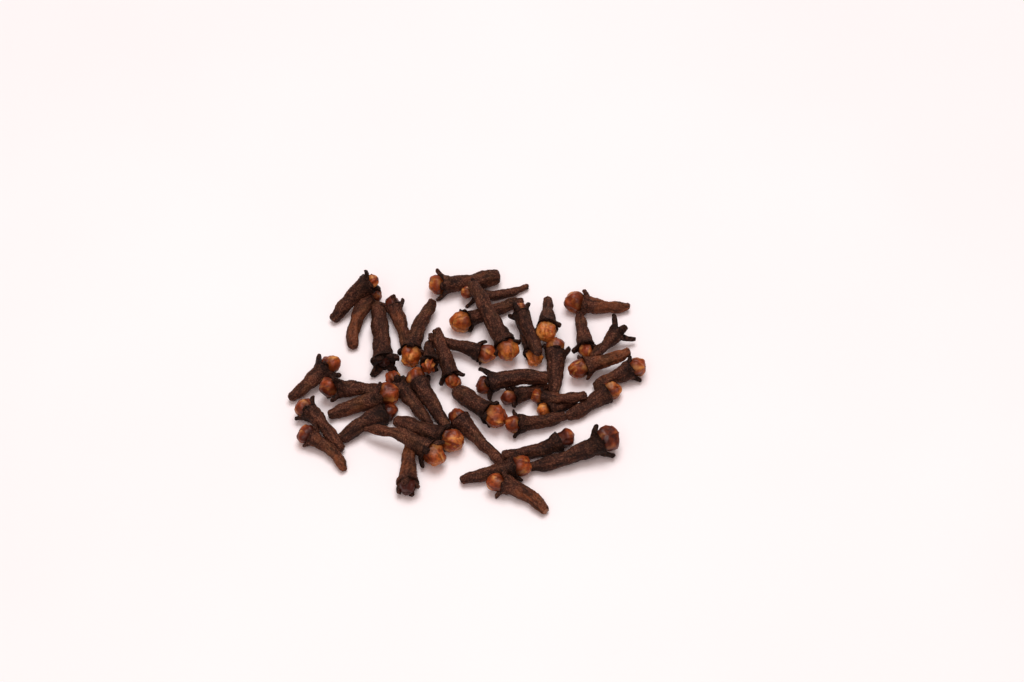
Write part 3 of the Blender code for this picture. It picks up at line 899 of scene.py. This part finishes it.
budFit = {
    "fit": 1.09,  # of the ball's radius, so that the dented ball is as big as the plain one
    "discShare": 0.7,  # of the calyx's radius
    "discHeight": 0.9,  # millimetres
    "relief": {"Dent Width": 2.6, "Dent Depth": 0.5, "Crease Width": 0.8, "Crease Depth": 0.1,
               "Seed": 2.0, "Material": petal},
}
budRows = []
for clove, axis in zip(cloves, axes):
    if clove.form == "cup":
        disc = clove.top * budFit["discShare"] * mm
        size, variant, tone = (disc, disc, budFit["discHeight"] * mm), "stub", 0.0
    else:
        size, variant, tone = (clove.ball * budFit["fit"] * mm,) * 3, clove.petals, clove.budTone
    first, second = sepalVectors(clove, axis)[:2]
    turned = first.lerp(second, draw.uniform(0, 1)).normalized()
    budRows.append({
        "where": axis.bud, "ahead": axis.direction(1), "outward": turned,
        "size": size, "variant": budKinds.index(variant), "tone": tone})
buds = growPiece("cloveBuds", placedTree, pointMesh("budPoints", budRows), {
    "Forms": budForms, **budFit["relief"]})

sepalForm = {
    "rings": 11,
    "sides": 12,
    "width": 1.5,  # at the foot, in shares of the calyx's radius
    "unevenness": (0.85, 1.1),
    "thickness": 0.8,
    "taper": 0.48,  # how much narrower and thinner the lobe is at its tip
    "thinning": 0.3,
    "footLength": 0.06,  # where the lobe reaches its full width, as a share of its length
    "tipFrom": 0.85,  # from here on the blunt tip rounds off
    "bowl": 0.5,  # how far the lobe's edges bend round the bud
    "hooks": (0.6, 1.4, -0.5),  # how far each of the forms bends outward
    "footReach": 0.78,  # where the foot stands: of the calyx's radius, and millimetres under its rim
    "footDepth": 0.5,
    "slimming": 0.97,  # the lobe's length against the plain one's
    "facing": 0.8,  # a lobe turned further towards the viewer than this has mostly
    "broken": 0.55,  # broken off, to this share of its length
    "darker": 0.5,  # than the stem
    "relief": {"Dent Width": 1.6, "Dent Depth": 0.12, "Crease Width": 0.5, "Crease Depth": 0.06,
               "Seed": 9.0, "Material": bark},
}


def sepalPoint(hook):
    def placeOf(height, around):
        # height runs from the foot to the blunt tip; x faces away from the bud
        angle = around * math.tau
        tipped = max(0.0, (height - sepalForm["tipFrom"]) / (1 - sepalForm["tipFrom"]))
        rounding = min(1.0, (height / sepalForm["footLength"]) ** 0.5) * max(0.0, 1 - tipped ** 2) ** 0.5
        width = 0.5 * (1 - sepalForm["taper"] * height ** 0.8) * rounding
        thick = 0.5 * (1 - sepalForm["thinning"] * height) * rounding
        y = width * math.cos(angle)
        x = thick * math.sin(angle) - sepalForm["bowl"] * (2 * y) ** 2 + hook * (height ** 2 - height)
        return Vector((x, y, height))
    return placeOf


sepalForms = makeForms("sepalForm", [
    gridMesh(f"sepalForm{index}", sepalForm, sepalPoint(hook), {"seamAndShade": noAmount})
    for index, hook in enumerate(sepalForm["hooks"])])
sepalRows = []
for clove, axis in zip(cloves, axes):
    rim = axis.bud - axis.direction(1) * rimSetback(clove)
    for vector, tip in zip(sepalVectors(clove, axis), sepalTips(clove, axis)):
        foot = rim + vector * clove.top * sepalForm["footReach"] * mm
        foot -= axis.direction(1) * sepalForm["footDepth"] * mm
        facing = -vector.dot(viewDirections()[0])
        reach = sepalForm["broken"] if facing > sepalForm["facing"] else sepalForm["slimming"]
        along = foot.lerp(axis.bud + tip, reach) - foot
        width = clove.top * sepalForm["width"] * mm * draw.uniform(*sepalForm["unevenness"])
        sepalRows.append({
            "where": foot, "ahead": along.normalized(), "outward": vector,
            "size": (sepalForm["thickness"] * clove.top * mm, width, along.length),
            "variant": int(draw.integers(0, 3)), "tone": clove.stemTone - sepalForm["darker"]})
sepals = growPiece("cloveSepals", placedTree, pointMesh("sepalPoints", sepalRows), {
    "Forms": sepalForms, **sepalForm["relief"]})

boxMargin = 0.01 * mm


def keepInside(piece):
    # Nothing sinks into the surface or stands out of the solids' box
    flat = np.empty(len(piece.data.vertices) * 3, dtype=np.float32)
    piece.data.vertices.foreach_get("co", flat)
    low = np.array(cadBox[0]) + (boxMargin, boxMargin, 0)
    high = np.array(cadBox[1]) - boxMargin
    flat = np.clip(flat.reshape(-1, 3), low, high).astype(np.float32).ravel()
    piece.data.vertices.foreach_set("co", flat)
    piece.data.update()


pieces = [stems, buds, sepals]
for piece in pieces:
    keepInside(piece)
for forms in (budForms, sepalForms):
    for form in list(forms.objects):
        bpy.data.objects.remove(form)
    bpy.data.collections.remove(forms)

floorFinish = {
    "colour": "#fffafa",
    "cloud": "#fdf6f6",
    "cloudsPerMetre": 14,
    "roughness": 0.6,
    "halfSize": 1.5,  # metres
}


def makeFloor():
    # Coated white table board: matt and slightly warm
    material, tree, shader = startMaterial("whiteCoatedBoard")
    place = addNode(tree, "ShaderNodeTexCoord", out="Object")
    cloud = addNode(tree, "ShaderNodeTexNoise", {
        "Vector": place, "Scale": floorFinish["cloudsPerMetre"], "Detail": 2})
    colour = addNode(tree, "ShaderNodeValToRGB", {"Fac": cloud}, stops=[
        (0.2, floorFinish["cloud"]), (0.8, floorFinish["colour"])])
    tree.links.new(colour, shader.inputs["Base Color"])
    shader.inputs["Roughness"].default_value = floorFinish["roughness"]
    half = floorFinish["halfSize"]
    mesh = bpy.data.meshes.new("floor")
    corners = [(-half, -half, 0), (half, -half, 0), (half, half, 0), (-half, half, 0)]
    mesh.from_pydata(corners, [], [(0, 1, 2, 3)])
    mesh.materials.append(material)
    floor = bpy.data.objects.new("floor", mesh)
    bpy.context.scene.collection.objects.link(floor)
    return floor


floor = makeFloor()

lights = {
    "window": {"size": 0.6, "energy": 5.25, "place": (0.03, 0.22, 0.85), "colour": "#fffdff"},
    "fill": {"size": 0.6, "energy": 1.5, "place": (-0.08, -0.35, 0.6), "colour": "#ffe9e6"},
}
for name, values in lights.items():
    light = bpy.data.lights.new(name, "AREA")
    light.shape = "DISK"
    light.size = values["size"]
    light.energy = values["energy"]
    light.color = toLinear(values["colour"])[:3]
    lamp = bpy.data.objects.new(name, light)
    lamp.location = values["place"]
    lamp.rotation_euler = (-lamp.location).to_track_quat("-Z", "Y").to_euler()
    bpy.context.scene.collection.objects.link(lamp)

room = {"colour": "#ffebe5", "strength": 0.3}
world = bpy.data.worlds.new("paleRoom")
world.use_nodes = True
background = world.node_tree.nodes["Background"]
background.inputs["Color"].default_value = toLinear(room["colour"])
background.inputs["Strength"].default_value = room["strength"]
bpy.context.scene.world = world
bpy.context.scene.view_settings.view_transform = "Standard"

camera = bpy.data.cameras.new("photoCamera")
camera.sensor_width = view["sensor"]
camera.lens = view["sensor"] * view["distance"] / (view["imageWidth"] * view["pixel"])
cameraObject = bpy.data.objects.new("photoCamera", camera)
cameraObject.location = view["aim"] - viewDirections()[0] * view["distance"]
cameraObject.rotation_euler = (math.pi / 2 - view["elevation"], 0, 0)
bpy.context.scene.collection.objects.link(cameraObject)
bpy.context.scene.camera = cameraObject
print("floor, lights and camera set")

for piece in pieces:
    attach(piece, "root")
    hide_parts("clove_heap")
